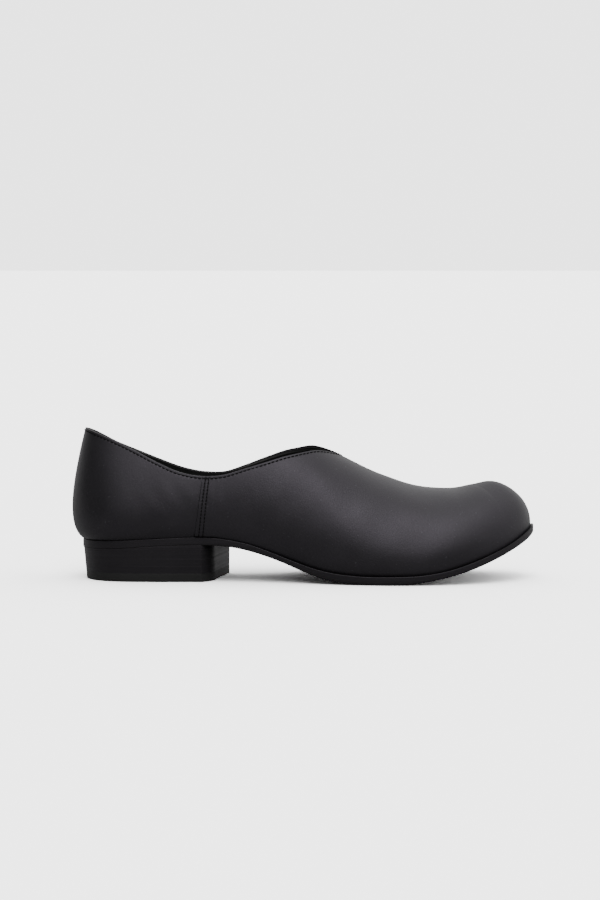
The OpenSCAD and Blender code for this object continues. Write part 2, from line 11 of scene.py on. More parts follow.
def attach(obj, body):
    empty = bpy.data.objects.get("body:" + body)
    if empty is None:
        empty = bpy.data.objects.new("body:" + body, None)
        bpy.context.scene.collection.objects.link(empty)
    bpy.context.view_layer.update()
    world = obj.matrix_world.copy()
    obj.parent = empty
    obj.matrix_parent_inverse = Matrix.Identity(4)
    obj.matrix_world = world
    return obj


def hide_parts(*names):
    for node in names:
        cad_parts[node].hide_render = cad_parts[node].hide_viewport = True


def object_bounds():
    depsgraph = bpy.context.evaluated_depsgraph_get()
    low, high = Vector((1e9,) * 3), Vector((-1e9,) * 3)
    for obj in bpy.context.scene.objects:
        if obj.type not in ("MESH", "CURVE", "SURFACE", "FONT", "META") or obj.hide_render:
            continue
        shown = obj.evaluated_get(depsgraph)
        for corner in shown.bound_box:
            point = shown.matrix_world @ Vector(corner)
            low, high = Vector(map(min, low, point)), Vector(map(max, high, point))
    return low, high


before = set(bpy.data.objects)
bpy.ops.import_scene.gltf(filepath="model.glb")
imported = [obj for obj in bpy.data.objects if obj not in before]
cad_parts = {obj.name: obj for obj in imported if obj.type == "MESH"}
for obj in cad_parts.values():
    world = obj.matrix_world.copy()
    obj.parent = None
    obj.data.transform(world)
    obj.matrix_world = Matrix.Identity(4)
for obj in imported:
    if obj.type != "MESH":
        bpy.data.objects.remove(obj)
cad_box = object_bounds()
BODY = "root"

# ---------------------------------------------------------------- curves of the last, in mm
# A station runs from 0 at the back of the heel to 15 at the tip of the toe, on either side.
LAST_STATION = 15
OUTER, INNER = SIDES = -1, 1
EDGE_X = [8, 11, 19.5, 34, 58, 86, 114, 142, 168, 193, 218, 242, 264, 282, 293.5, 297.5]
OUTER_Y = [0, 14, 25, 31.5, 33.5, 33.5, 35.5, 40, 46, 50.5, 52, 50, 43.5, 32.5, 18, 0]
INNER_Y = [0, 14, 25, 31, 31.5, 29, 29, 34, 42, 48, 50, 47.5, 41, 30.5, 17, 0]
CREST_X = [10, 12.6, 20, 34, 58, 84, 108, 132, 154, 176, 200, 224, 244, 258, 267, 270]
CREST_Y = [0, 9.5, 16.5, 19.5, 17, 9, 3, 0, 0, 0, 0, 0, 0, 0, 0, 0]
CREST_Z = [99, 99, 99, 99, 100, 101, 102.5, 99.5, 91, 78.8, 67.4, 59.6, 58, 60.2, 62.1, 62.4]
FOOT_LEAN = [60, 58, 54, 48, 40, 34, 30, 30, 32, 34, 34, 30, 22, 12, 6, 4]
FOOT_PULL = [15.5, 15, 15, 15, 15, 16, 18, 20, 20, 19, 18, 17, 16, 15.5, 15.4, 15.4]
CREST_LEAN = [14, 14, 15, 18, 30, 55, 78, 90, 90, 90, 90, 90, 90, 90, 90, 90]
CREST_PULL = [30, 30, 30, 29, 27, 26, 28, 31, 33, 33, 34, 36, 34, 26, 18, 15.1]
CREST_TURN = [0, 25, 50, 78, 90, 90, 90, 90, 90, 90, 90, 90, 98, 122, 150, 180]
# height of the groove between upper and sole, of the sole's underside and of the opening's edge
SEAT_LINE = [(0, 25.6), (30, 26.8), (64, 28.6), (82, 29.2), (95, 28.7), (103, 27.6), (116, 24.9),
             (127, 21.2), (144, 14.8), (153, 11.6), (164, 8.6), (180, 6.4), (208, 5.8),
             (225, 6.6), (241, 9.2), (263, 16.2), (274, 20.8), (285, 26.2), (297.5, 34)]
SOLE_LINE = [(0, 20.6), (30, 21.6), (64, 23.8), (85, 24.2), (95, 23.5), (103, 22.8), (117, 20),
             (127, 17), (138, 13), (148, 8.8), (156, 5.6), (164, 3.1), (175, 1.2), (188, 0.3),
             (204, 0), (218, 0.7), (236, 3.5), (252, 7.6), (264, 11.8), (274, 16), (284, 20.8),
             (294, 26.2), (301, 30.5)]
OPENING_LINE = {
    OUTER: [(9, 97.8), (15, 95.8), (28, 90.8), (42, 84.4), (58, 76.2), (72, 70.4), (86, 68),
         (98, 68.6), (112, 72.5), (126, 76.7), (140, 80.8), (150, 82.6), (160, 83)],
    INNER: [(9, 97.8), (15, 94.6), (28, 87.4), (42, 81.4), (58, 74.7), (72, 69.6), (86, 66.9),
        (98, 66.8), (112, 71.2), (126, 76.6), (140, 81.6), (150, 83.6), (160, 84.6)],
}
THROAT_X, THROAT_LENGTH = 174, 41
OPENING_WIDTH = {OUTER: 26, INNER: 23}
MID_X = 150.135
OWN_HEIGHT, OWN_LENGTH, OWN_WIDTH = 97.587, 298.603, 106
SEAM, SEAM_SLANT, STATION_LENGTH, LAP, LAP_RISE = 5.06, 0.24, 27, 7 / 27, 1.0

LEATHER, LAYER_GAP, LINING = 1.3, 0.3, 0.8
LINING_OUT = 2.6
LINING_IN = LINING_OUT + LINING
LASTING_MARGIN = 14
INSOLE_TOP = 5.7
SOCK_LOW, SOCK_HIGH = INSOLE_TOP + 2.05, INSOLE_TOP + 3.05
SOLE_LIP, HEEL_LIP = 2.0, 0.2

# station step for slopes, and the station where the crest's own slope starts to count
SLOPE_STEP, SLOPED_CREST = 0.01, 11
# how much the pull at each end of a wall curve shortens for each mm below the surface
PULL_LOSS = 0.55
# from here on the opening is bounded in plan, by a rounded point that ends at the throat
POINT_START, POINT_RUN, POINT_WEIGHT = 146, 14, 0.6
POINT_POWER, POINT_ROUNDING = 1.7, 0.75
# the opening is looked for between this part of the wall and the crest
LOWEST_CUT = 0.2
# how many stations the slant of the side seam reaches either way
SLANT_REACH = 1.5
# rows bend toward the opening's edge late, and toward a dropped edge later still
CUT_BEND, DROP_BEND, ROW_STEP = 1.5, 16, 0.05

# the CAD model's own size gives the scale and the middle of the shoe
low_corner, high_corner = (np.array(c) for c in cad_box)
SCALE = (high_corner - low_corner) / np.array([OWN_LENGTH, OWN_WIDTH, OWN_HEIGHT])
SHIFT = np.array([-MID_X * SCALE[0], SCALE[1], 0.0])


def placed(points):
    """Points of the last, in mm, as places in the frame, in metres."""
    return np.asarray(points) * SCALE + SHIFT


def ease(x):
    x = np.clip(x, 0, 1)
    return x * x * (3 - 2 * x)


def padded_list(values, first, final):
    v = np.asarray(values, float)
    return np.concatenate([[first], v, [final]])


def even(v):
    return padded_list(v, v[1], v[-2])


def odd(v):
    return padded_list(v, 2 * v[0] - v[1], 2 * v[-1] - v[-2])


def spline(padded, u):
    """A value between the entries of a list, along a smooth curve through them."""
    u = np.asarray(u, float)
    i = np.clip(np.floor(u).astype(int), 0, LAST_STATION - 1)
    f = u - i
    a, b, c, d = padded[i], padded[i + 1], padded[i + 2], padded[i + 3]
    return b + f / 2 * (c - a + f * (2 * a - 5 * b + 4 * c - d + f * (3 * (b - c) + d - a)))


def height(line, x):
    """The height of a line at distance x from the back, on a smooth curve through its points."""
    p = np.asarray(line, float)
    px, pz = p[:, 0], p[:, 1]
    rise = np.diff(pz) / np.diff(px)
    run = np.diff(px)
    m = np.concatenate([[rise[0]],
                        (rise[:-1] * run[1:] + rise[1:] * run[:-1]) / (run[:-1] + run[1:]),
                        [rise[-1]]])
    x = np.asarray(x, float)
    i = np.clip(np.searchsorted(px, x) - 1, 0, len(px) - 2)
    h = px[i + 1] - px[i]
    t = (x - px[i]) / h
    inside = ((2 * t**3 - 3 * t**2 + 1) * pz[i] + (t**3 - 2 * t**2 + t) * h * m[i]
              + (3 * t**2 - 2 * t**3) * pz[i + 1] + (t**3 - t**2) * h * m[i + 1])
    inside = np.where(x < px[0], pz[0] + m[0] * (x - px[0]), inside)
    return np.where(x > px[-1], pz[-1] + m[-1] * (x - px[-1]), inside)


EDGE_X_S, CREST_X_S, CREST_Z_S = even(EDGE_X), even(CREST_X), even(CREST_Z)
EDGE_Y_S = {OUTER: odd(OUTER_Y), INNER: odd(INNER_Y)}
CREST_Y_S, CREST_TURN_S = odd(CREST_Y), odd(CREST_TURN)
FOOT_LEAN_S, FOOT_PULL_S = even(FOOT_LEAN), even(FOOT_PULL)
CREST_LEAN_S, CREST_PULL_S = even(CREST_LEAN), even(CREST_PULL)


def edge(u, side):
    return np.stack([spline(EDGE_X_S, u), side * spline(EDGE_Y_S[side], u)], -1)


def outward(u, side):
    """The direction in plan that points out of the shoe at a station."""
    e = SLOPE_STEP
    t = edge(np.minimum(u + e, LAST_STATION), side) - edge(np.maximum(u - e, 0), side)
    t = np.where((u < e)[..., None], [0, side], t)
    t = np.where((u > LAST_STATION - e)[..., None], [0, -side], t)
    t = t / np.linalg.norm(t, axis=-1, keepdims=True)
    n = np.stack([t[..., 1], -t[..., 0]], -1)
    return n if side < 0 else -n


def edge_out(u, side, out):
    return edge(u, side) + np.asarray(out)[..., None] * outward(u, side)


def wall_curve(u, side, depth):
    """Four control points of the wall at each station, for a layer below the surface."""
    f, n = edge(u, side), outward(u, side)
    al, be = np.radians(spline(FOOT_LEAN_S, u)), np.radians(spline(CREST_LEAN_S, u))
    turn = np.radians(spline(CREST_TURN_S, u))
    pull_low = spline(FOOT_PULL_S, u) - PULL_LOSS * depth
    pull_high = spline(CREST_PULL_S, u) - PULL_LOSS * depth
    mx, my = -np.cos(turn), side * np.sin(turn)
    k = depth * (1 - np.sin(al)) / np.cos(al)
    p0 = np.stack([f[..., 0] - n[..., 0] * k, f[..., 1] - n[..., 1] * k,
                   height(SEAT_LINE, f[..., 0]) + depth], -1)
    up = np.stack([n[..., 0] * np.sin(al), n[..., 1] * np.sin(al), np.cos(al)], -1)
    p1 = p0 + pull_low[..., None] * up
    r = np.stack([spline(CREST_X_S, u), side * np.maximum(0, spline(CREST_Y_S, u)),
                  spline(CREST_Z_S, u)], -1)
    inward = np.stack([mx * np.cos(be), my * np.cos(be), np.sin(be)], -1)
    p3 = r - np.asarray(depth)[..., None] * inward
    e = SLOPE_STEP
    a = np.minimum(u, LAST_STATION - 2 * e)
    rise = ((spline(CREST_Z_S, a + e) - spline(CREST_Z_S, a - e))
            / (spline(CREST_X_S, a + e) - spline(CREST_X_S, a - e)))
    rise = np.where(u < SLOPED_CREST, 0, rise)
    down = np.stack([mx * np.sin(be), my * np.sin(be), mx * rise - np.cos(be)], -1)
    p2 = p3 + pull_high[..., None] * down
    return p0, p1, p2, p3


def along(c, w):
    """The place at part w of a wall curve, from its foot at 0 to the crest at 1."""
    w = np.asarray(w)[..., None]
    return ((1 - w)**3 * c[0] + 3 * w * (1 - w)**2 * c[1]
            + 3 * w**2 * (1 - w) * c[2] + w**3 * c[3])


def above_edge(p, side):
    """Above zero where a point lies inside the opening."""
    b = ease((p[..., 0] - POINT_START) / POINT_RUN)
    x = np.minimum(p[..., 0], THROAT_X)
    back = np.maximum(0, 1 - (THROAT_X - x) / THROAT_LENGTH)
    width = OPENING_WIDTH[side] * np.maximum(0, 1 - back**POINT_POWER)**POINT_ROUNDING
    return ((1 - b) * (p[..., 2] - height(OPENING_LINE[side], p[..., 0]))
            + b * POINT_WEIGHT * (width - abs(p[..., 1])))


def throat_station():
    low, high = 7.0, 10.0
    for _ in range(24):
        m = (low + high) / 2
        low, high = (m, high) if spline(CREST_X_S, m) < THROAT_X else (low, m)
    return (low + high) / 2


THROAT = throat_station()


def opening(u, side):
    """How far up the wall the opening cuts it: 1 where the wall runs on to the crest."""
    u = np.asarray(u, float)
    c = wall_curve(u, side, 0.0)
    low, high = np.full(u.shape, LOWEST_CUT), np.ones(u.shape)
    for _ in range(22):
        m = (low + high) / 2
        inside = above_edge(along(c, m), side) > 0
        high, low = np.where(inside, m, high), np.where(inside, low, m)
    return np.where(u >= THROAT - 1e-4, 1.0, high)


def slanted(u, t):
    """Stations near the side seam lean back toward the sole, as the seam does."""
    near_seam = np.clip(1 - abs(u - SEAM) / SLANT_REACH, 0, 1)
    return u - SEAM_SLANT * (1 - np.clip(t, 0, 1)) * near_seam


def on_upper(u, side, depth, t, drop=0.0):
    """Points of the upper for grids of stations u and rows t: -1 to 0 is the turned-in edge.

    drop is how far the last rows stop short of the cut edge, in mm.
    """
    v = slanted(u, t)
    top = opening(u[:, -1], side)[:, None]
    c = wall_curve(v, side, depth)
    n = outward(v, side)
    w = np.clip(t, 0, 1)
    run = np.linalg.norm(along(c, top) - along(c, top - ROW_STEP), axis=-1) / ROW_STEP
    wall = along(c, w - (1 - top) * w**CUT_BEND - drop * w**DROP_BEND / run)
    turned = np.minimum(t, 0) * LASTING_MARGIN
    x = c[0][..., 0] + n[..., 0] * turned
    flat = np.stack([x, c[0][..., 1] + n[..., 1] * turned, height(SEAT_LINE, x) + depth], -1)
    return np.where((t > 0)[..., None], wall, flat)


# ---------------------------------------------------------------- meshes
class Build:
    """Collects points and faces of one piece."""

    def __init__(self):
        self.points = []
        self.faces = []
        self.count = 0

    def add(self, points):
        first = self.count
        self.points.append(np.asarray(points, float).reshape(-1, 3))
        self.count += len(self.points[-1])
        return first

    def grid(self, points, closed=False):
        n, m = points.shape[:2]
        first = self.add(points)
        i, j = np.meshgrid(np.arange(n - 1), np.arange(m if closed else m - 1), indexing="ij")
        k = (j + 1) % m
        quads = np.stack([i * m + j, i * m + k, (i + 1) * m + k, (i + 1) * m + j], -1)
        self.faces += (quads.reshape(-1, 4) + first).tolist()
        return first

    def strip(self, a, b):
        self.grid(np.stack([a, b]))

    def make(self, name, smooth_angle=40, weld=2e-6):
        mesh = bpy.data.meshes.new(name)
        mesh.from_pydata(np.concatenate(self.points).tolist(), [], self.faces)
        bm = bmesh.new()
        bm.from_mesh(mesh)
        bmesh.ops.remove_doubles(bm, verts=bm.verts, dist=weld)
        bmesh.ops.dissolve_degenerate(bm, dist=1e-7, edges=bm.edges)
        bmesh.ops.recalc_face_normals(bm, faces=bm.faces)
        bm.to_mesh(mesh)
        bm.free()
        mesh.polygons.foreach_set("use_smooth", [True] * len(mesh.polygons))
        mesh.set_sharp_from_angle(angle=math.radians(smooth_angle))
        obj = bpy.data.objects.new(name, mesh)
        bpy.context.scene.collection.objects.link(obj)
        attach(obj, BODY)
        return obj


def finish_piece(obj, material, slot, *nodes):
    obj.data.materials.append(material)
    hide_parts(*nodes)


# ---------------------------------------------------------------- stitch lines, in metres
EDGE_STITCH, SEAM_STITCH, THREAD, EDGE_ROW = 2.7, 2.2, 0.62, 1.7
MM = 0.001
# how far ahead of the seam its two rows lie, and how high up the wall they reach
SEAM_ROWS = (2.2, 4.4)
SEAM_FIRST, SEAM_LAST = 0.03, 0.968
# a stitch's arch: its height in thread widths at points from one needle hole to the other
ARCH_HEIGHT = np.array([-0.35, 0.12, 0.32, 0.36, 0.32, 0.12, -0.35])
ARCH_PLACE = np.array([0.19, 0.22, 0.28, 0.5, 0.72, 0.78, 0.81])
THREAD_TAPER = 0.45


def unit(v):
    return v / np.linalg.norm(v, axis=-1, keepdims=True)


def lap_height(u, t):
    return LAP_RISE * np.clip(t / 0.04, 0, 1) * (1 - ease((u - SEAM) / LAP - 1.1))


def edge_line(count=140):
    """The stitch line round the opening, with the leather's outward direction at each point."""
    f = np.linspace(0, 1, count)
    parts = []
    for side, order in ((OUTER, f), (INNER, f[::-1][1:])):
        u = THROAT * (1 - (1 - order)**1.6)
        top = opening(u, side)
        c = wall_curve(u, side, np.where(u < SEAM, 0, -lap_height(u, 1.0)))
        parts.append(np.stack([placed(along(c, top)), placed(along(c, top - 0.03))], 1))
    e = np.concatenate(parts)
    t = unit(e[2:, 0] - e[:-2, 0])
    down = e[1:-1, 1] - e[1:-1, 0]
    out = unit(np.cross(down, t))
    return e[1:-1, 0] + np.cross(t, out) * EDGE_ROW * MM, out


def seam_line(side, ahead):
    t = np.linspace(SEAM_FIRST, SEAM_LAST, 40)[None, :]
    u = np.full(t.shape, SEAM + ahead / STATION_LENGTH)
    p = placed(on_upper(u, side, -lap_height(u, t), t))[0]
    q = placed(on_upper(u + 0.05, side, -lap_height(u, t), t))[0]
    out = unit(np.cross(q - p, np.gradient(p, axis=0))) * -side
    return p, out


stitch_lines = {"edge": edge_line()}
for side_name, side_sign in (("outer", OUTER), ("inner", INNER)):
    for row_number, row_ahead in enumerate(SEAM_ROWS):
        stitch_lines[f"{side_name}_{row_number}"] = seam_line(side_sign, row_ahead)


def resample(p, out, spacing):
    """Points at even distances along a line, with the direction out at each."""
    length = np.concatenate([[0], np.cumsum(np.linalg.norm(np.diff(p, axis=0), axis=1))])
    count = int(length[-1] / spacing)
    s = np.linspace(0, length[-1], count + 1)

    def picked(v):
        return np.stack([np.interp(s, length, v[:, k]) for k in range(3)], -1)

    return picked(p), unit(picked(out))


def stitch_points(p, out, pitch):
    """For each stitch the points of an arch that dips into the leather at both needle holes."""
    q, n = resample(p, out, pitch)
    for i in range(len(q) - 1):
        yield [q[i] + (q[i + 1] - q[i]) * f + (n[i] + n[i + 1]) / 2 * h * MM
               for f, h in zip(ARCH_PLACE, ARCH_HEIGHT * THREAD)]


def tube(build, points, radius, sides=7):
    """A closed round strand along the points, thinner at both ends."""
    points = np.array(points)
    t = unit(np.gradient(points, axis=0))
    ref = np.array([0, 0, 1.0]) if abs(t[0][2]) < 0.9 else np.array([1.0, 0, 0])
    a = unit(np.cross(t, ref))
    b = np.cross(t, a)
    turn = np.linspace(0, 2 * math.pi, sides, endpoint=False)
    r = radius * np.array([THREAD_TAPER] + [1.0] * (len(points) - 2) + [THREAD_TAPER])
    ring = (points[:, None] + r[:, None, None]
            * (np.cos(turn)[None, :, None] * a[:, None] + np.sin(turn)[None, :, None] * b[:, None]))
    first = build.grid(ring, closed=True)
    build.faces.append(tuple(first + k for k in range(sides)))
    last = first + (len(points) - 1) * sides
    build.faces.append(tuple(last + k for k in reversed(range(sides))))


# ---------------------------------------------------------------- leather surface relief
GROOVE_DEPTH, GROOVE_WIDTH = 0.03, 0.6
HOLE_DEPTH, HOLE_WIDTH = 0.30, 0.42


def tree_of(points):
    tree = kdtree.KDTree(len(points))
    for i, p in enumerate(points):
        tree.insert(p, i)
    tree.balance()
    return tree


groove_points = np.concatenate([resample(p, n, 0.4 * MM)[0] for p, n in stitch_lines.values()])
hole_points = np.concatenate([
    resample(p, n, (EDGE_STITCH if name == "edge" else SEAM_STITCH) * MM)[0]
    for name, (p, n) in stitch_lines.items()])
groove_tree, hole_tree = tree_of(groove_points), tree_of(hole_points)


def patch(x, z, middle_x, middle_z, reach_x, reach_z):
    """1 at a place on the side of the shoe, fading out round it."""
    return np.exp(-((x - middle_x) / reach_x)**2 - ((z - middle_z) / reach_z)**2)


def relief(p):
    """How far the leather stands out of its smooth surface, in mm, at places in the frame."""
    q = p * 1000
    x, y, z = q[..., 0], q[..., 1], q[..., 2]
    # a slow unevenness all over, fine folds behind the seam, drawn leather at the waist
    soft = (0.10 * np.sin(x / 8.5 + z / 13 + 0.6 * np.sin(y / 11))
            + 0.07 * np.sin(x / 5.2 - z / 6.1 + 1.3)
            + 0.05 * np.sin(y / 4.3 + x / 9.7 + 2.1))
    folds = 0.09 * np.sin((x + 0.55 * z) / 2.3 + 0.8 * np.sin(z / 7)) * patch(x, z, -76, 57, 24, 9)
    drawn = 0.14 * np.sin((x - 0.9 * z) / 4.2) * patch(x, z, -12, 40, 26, 20)
    return 0.8 * soft + folds + drawn


def stitch_dip(points):
    """How deep the thread pulls the leather in, in mm."""
    dip = np.zeros(len(points))
    for i, p in enumerate(points):
        d = groove_tree.find(p)[2] / MM
        if d < 3 * GROOVE_WIDTH:
            h = hole_tree.find(p)[2] / MM
            dip[i] = (GROOVE_DEPTH * math.exp(-(d / GROOVE_WIDTH)**2)
                      + HOLE_DEPTH * math.exp(-(h / HOLE_WIDTH)**2))
    return dip


# ---------------------------------------------------------------- the upper
# cross-section of a cut edge: part of the thickness, and how far short of the edge it stops
CUT_EDGE = [(0.10, 0.10), (0.28, 0.02), (0.5, 0.0), (0.72, 0.03), (0.9, 0.12)]
CUT_DROP = 0.38
# the vamp's rear edge: how far ahead of the edge, and how much is taken off each face there
REAR_EDGE = [(0.0, 0.32), (0.10, 0.10), (0.30, 0.0)]
REAR_EDGE_END = 0.4
# rows of the turned-in edge, from its inner end at -1 to the groove at 0
TURNED_ROWS = [-1, -0.55, -0.2, -0.05]
# stations along the vamp: over the lap, from there to the throat, and ahead of it
LAP_STATIONS, REAR_STATIONS, FRONT_STATIONS = 26, 120, 180
QUARTER_STATIONS, BACK_SEAM_STATIONS = 150, 34


def wall_rows(count=70, dense=14, dense_step=0.0045):
    """Rows up the wall, close together in the last few millimetres below the cut edge."""
    top = 1 - dense_step * np.arange(dense)[::-1]
    low = np.linspace(0, top[0], count - dense + 1)[:-1]
    return np.concatenate([TURNED_ROWS, low, top])


def crowd(a, b, count, power):
    """Stations from a to b that crowd together toward b."""
    return b - (b - a) * (1 - np.linspace(0, 1, count))**power


def outward_normals(p):
    n = np.cross(np.gradient(p, axis=0), np.gradient(p, axis=1))
    n = n / np.maximum(np.linalg.norm(n, axis=-1, keepdims=True), 1e-12)
    middle = n[len(n) // 2, n.shape[1] // 2]
    away = p[len(n) // 2, n.shape[1] // 2] - placed([[MID_X, 0, 40]])[0]
    return n * np.sign(middle @ away)


def skin_offset(p, t, fade):
    """How the outer skin is moved off its smooth surface."""
    amount = relief(p) * ease(t / 0.08) * fade
    amount = amount - stitch_dip(p.reshape(-1, 3)).reshape(amount.shape)
    return outward_normals(p) * (amount * MM)[..., None]


def profile(u, side, outer, inner, t, rim, bumpy):
    """One closed loop of points a station: up the outside, over the edge, down the inside.

    rim is 1 where the edge is cut, and bumpy is how strong the relief is, or None.
    """
    drop = CUT_DROP * rim
    outside = placed(on_upper(u, side, outer, t, drop))
    inside = placed(on_upper(u, side, inner, t, drop))
    if bumpy is None:
        shift = np.zeros_like(outside)
    else:
        shift = skin_offset(outside, t, bumpy)
    outside = outside + shift
    over = []
    for part, back in CUT_EDGE:
        depth = outer[:, -1:] + (inner[:, -1:] - outer[:, -1:]) * part
        p = placed(on_upper(u[:, -1:], side, depth, t[:, -1:], back * rim))
        over.append(p + shift[:, -1:] * (1 - part))
    return np.concatenate([outside] + over + [inside[:, ::-1]], axis=1)


def end_cap(build, loop):
    """Closes the end of a row of loops, between its outside and its inside."""
    half = len(loop) // 2
    build.strip(loop[:half], loop[::-1][:half])
    if len(loop) % 2:
        first = build.add(loop[half - 1:half + 2])
        build.faces.append([first, first + 1, first + 2])


def filled(value, shape):
    return np.broadcast_to(np.asarray(value, float), shape).copy()


def vamp_depths(u, t, inner):
    rise = lap_height(u, t)
    return (LEATHER - 0.4 * rise if inner else 0 * rise) - rise


def make_vamp():
    build = Build()
    t = wall_rows()[None, :]
    past_lap = SEAM + LAP * 1.35
    rear = np.concatenate([
        np.linspace(SEAM + REAR_EDGE_END / STATION_LENGTH, past_lap, LAP_STATIONS)[:-1],
        crowd(past_lap, THROAT, REAR_STATIONS, 1.8)])[:, None]
    front = np.linspace(THROAT, LAST_STATION, FRONT_STATIONS)[:, None]
    for side in SIDES:
        u, rows = np.broadcast_arrays(rear, t)
        rim = ease((THROAT - u) / 0.25)
        loops = profile(u, side, vamp_depths(u, rows, False), vamp_depths(u, rows, True),
                        rows, rim[:, -1:], 1.0)
        ends = []
        for step, thin in REAR_EDGE:
            e = filled(SEAM + step / STATION_LENGTH, (2, t.shape[1]))
            e[1] += 1e-3
            r = np.broadcast_to(t, e.shape)
            ends.append(profile(e, side, vamp_depths(e, r, False) + thin,
                                vamp_depths(e, r, True) - thin, r, np.ones((2, 1)), None)[:1])
        loops = np.concatenate(ends + [loops])
        build.grid(loops, closed=True)
        end_cap(build, loops[0])
        vamp_front(build, front, side, t)
    return build.make("vamp_leather")


def vamp_front(build, stations, side, t):
    """The vamp ahead of the throat, where both sides meet along the crest."""
    u, rows = np.broadcast_arrays(stations, t)
    outside = placed(on_upper(u, side, filled(0.0, u.shape), rows))
    inside = placed(on_upper(u, side, filled(LEATHER, u.shape), rows))
    shift = skin_offset(outside, rows, 1.0)
    # the crest stays in the middle plane, so that both sides share it
    shift[:, -1, 1] = 0
    outside = outside + shift
    build.grid(outside)
    build.grid(inside)
    build.strip(outside[:, 0], inside[:, 0])


def quarter_front(t):
    return SEAM - 0.01 + (LAP + 0.01) * np.clip((t - 0.05) / 0.1, 0, 1)


BACK_SEAM_DEPTH, BACK_SEAM_WIDTH = 0.5, 0.9
# stations stand closer at the heel; the first half of one, by the seam, gets a finer mesh
HEEL_STATION_LENGTH, BACK_SEAM_REACH = 14.5, 0.5


def make_quarter(side, name):
    build = Build()
    t = wall_rows()[None, :]
    near = BACK_SEAM_REACH * np.linspace(0, 1, BACK_SEAM_STATIONS)**1.5
    rest = np.linspace(BACK_SEAM_REACH / (SEAM + LAP), 1, QUARTER_STATIONS)[1:]
    f = np.concatenate([near / (SEAM + LAP), rest])[:, None]
    shape = (len(f), t.shape[1])
    rows = np.broadcast_to(t, shape)
    u = f * quarter_front(rows)
    across_seam = u * HEEL_STATION_LENGTH / BACK_SEAM_WIDTH
    seam_groove = BACK_SEAM_DEPTH * np.exp(-across_seam**2) * ease(rows / 0.1)
    rim = np.ones((len(f), 1))
    fade = 1 - ease((u - SEAM + 0.3) / 0.3)
    loops = profile(u, side, seam_groove, filled(LEATHER, shape), rows, rim, fade)
    build.grid(loops, closed=True)
    end_cap(build, loops[0])
    end_cap(build, loops[-1])
    return build.make(name)


LINING_SEAM = 4.6
LINING_ROWS, LINING_EDGE_ROWS = 44, 12
CLOSING_START, CLOSING_RUN, CLOSED_GAP = 0.987, 0.012, 0.05


def lining_depth(base, t):
    """The lining closes up against the leather along the edge of the opening."""
    closing = ease((t - CLOSING_START) / CLOSING_RUN)
    return base - (LINING_OUT - LEATHER - CLOSED_GAP) * closing


def lining_profile(u, side, rows, rim):
    return profile(u, side, lining_depth(LINING_OUT, rows), lining_depth(LINING_IN, rows),
                   rows, rim, None)


def make_vamp_lining():
    build = Build()
    t = wall_rows(LINING_ROWS, LINING_EDGE_ROWS)[None, :]
    rear = crowd(LINING_SEAM + 0.01, THROAT, 70, 1.6)[:, None]
    front = np.linspace(THROAT, LAST_STATION, 90)[:, None]
    for side in SIDES:
        u, rows = np.broadcast_arrays(rear, t)
        fold = ease((THROAT - u[:, -1:]) / 0.3)
        near = lining_profile(u, side, rows, fold)
        build.grid(near, closed=True)
        end_cap(build, near[0])
        lining_front(build, front, side, t)
    return build.make("vamp_lining_leather")


def lining_front(build, stations, side, t):
    u, rows = np.broadcast_arrays(stations, t)
    open_part = 1 - ease((u - THROAT) / 0.35)
    outer = LINING_OUT + (lining_depth(LINING_OUT, rows) - LINING_OUT) * open_part
    outside = placed(on_upper(u, side, outer, rows))
    inside = placed(on_upper(u, side, outer + LINING, rows))
    build.grid(outside)
    build.grid(inside)
    build.strip(outside[:, 0], inside[:, 0])


def make_quarter_lining():
    """The lining of the back part is one piece that runs round the heel."""
    build = Build()
    t = wall_rows(LINING_ROWS, LINING_EDGE_ROWS)[None, :]
    half = LINING_SEAM * np.linspace(0, 1, 60)**1.25
    all_loops = []
    for side, stations in ((OUTER, half[::-1]), (INNER, half[1:])):
        u, rows = np.broadcast_arrays(stations[:, None], t)
        all_loops.append(lining_profile(u, side, rows, np.ones((len(stations), 1))))
    loops = np.concatenate(all_loops)
    build.grid(loops, closed=True)
    end_cap(build, loops[0])
    end_cap(build, loops[-1])
    return build.make("quarter_lining_leather")


# ---------------------------------------------------------------- inside of the shoe
HEEL_TIP, TOE_TIP = 0.12, LAST_STATION - 0.12


def inside_edge(u):
    al = np.radians(spline(FOOT_LEAN_S, u))
    return -LAYER_GAP - 0.2 - LINING_IN * (1 - np.sin(al)) / np.cos(al)


def across(u, out, line, lift, columns, crown=0.0):
    """A sheet across the shoe at stations u, from one side to the other."""
    k = (1 - np.cos(np.linspace(0, math.pi, columns))) / 2
    a, b = edge_out(u, OUTER, out), edge_out(u, INNER, out)
    p = a[:, None] + (b - a)[:, None] * k[None, :, None]
    z = height(line, p[..., 0]) + lift + crown * np.sin(np.linspace(0, math.pi, columns))[None, :]
    return np.concatenate([p, z[..., None]], -1)


def slab(build, u, outline, line, low, high, columns=24, rounding=0.3):
    """A flat layer across the shoe with softly rounded edges."""
    levels = [(-rounding, low), (-0.3 * rounding, low + 0.3 * rounding), (0, low + rounding),
              (0, high - rounding), (-0.3 * rounding, high - 0.3 * rounding), (-rounding, high)]
    sheets = [placed(across(u, outline(u) + out, line, z, columns)) for out, z in levels]
    stack_sheets(build, sheets)


def ring_of(sheet):
    return np.concatenate([sheet[:, 0], sheet[-1, 1:], sheet[::-1, -1][1:], sheet[0, ::-1][1:-1]])


def stack_sheets(build, sheets):
    """A closed solid from sheets one above the other: the first and last are its faces."""
    build.grid(sheets[0])
    build.grid(sheets[-1])
    build.grid(np.stack([ring_of(s) for s in sheets]), closed=True)


def make_sock_liner():
    build = Build()
    u = np.linspace(HEEL_TIP, TOE_TIP, 130)
    slab(build, u, inside_edge, SEAT_LINE, SOCK_LOW, SOCK_HIGH, 30, 0.35)
    return build.make("sock_liner_leather")


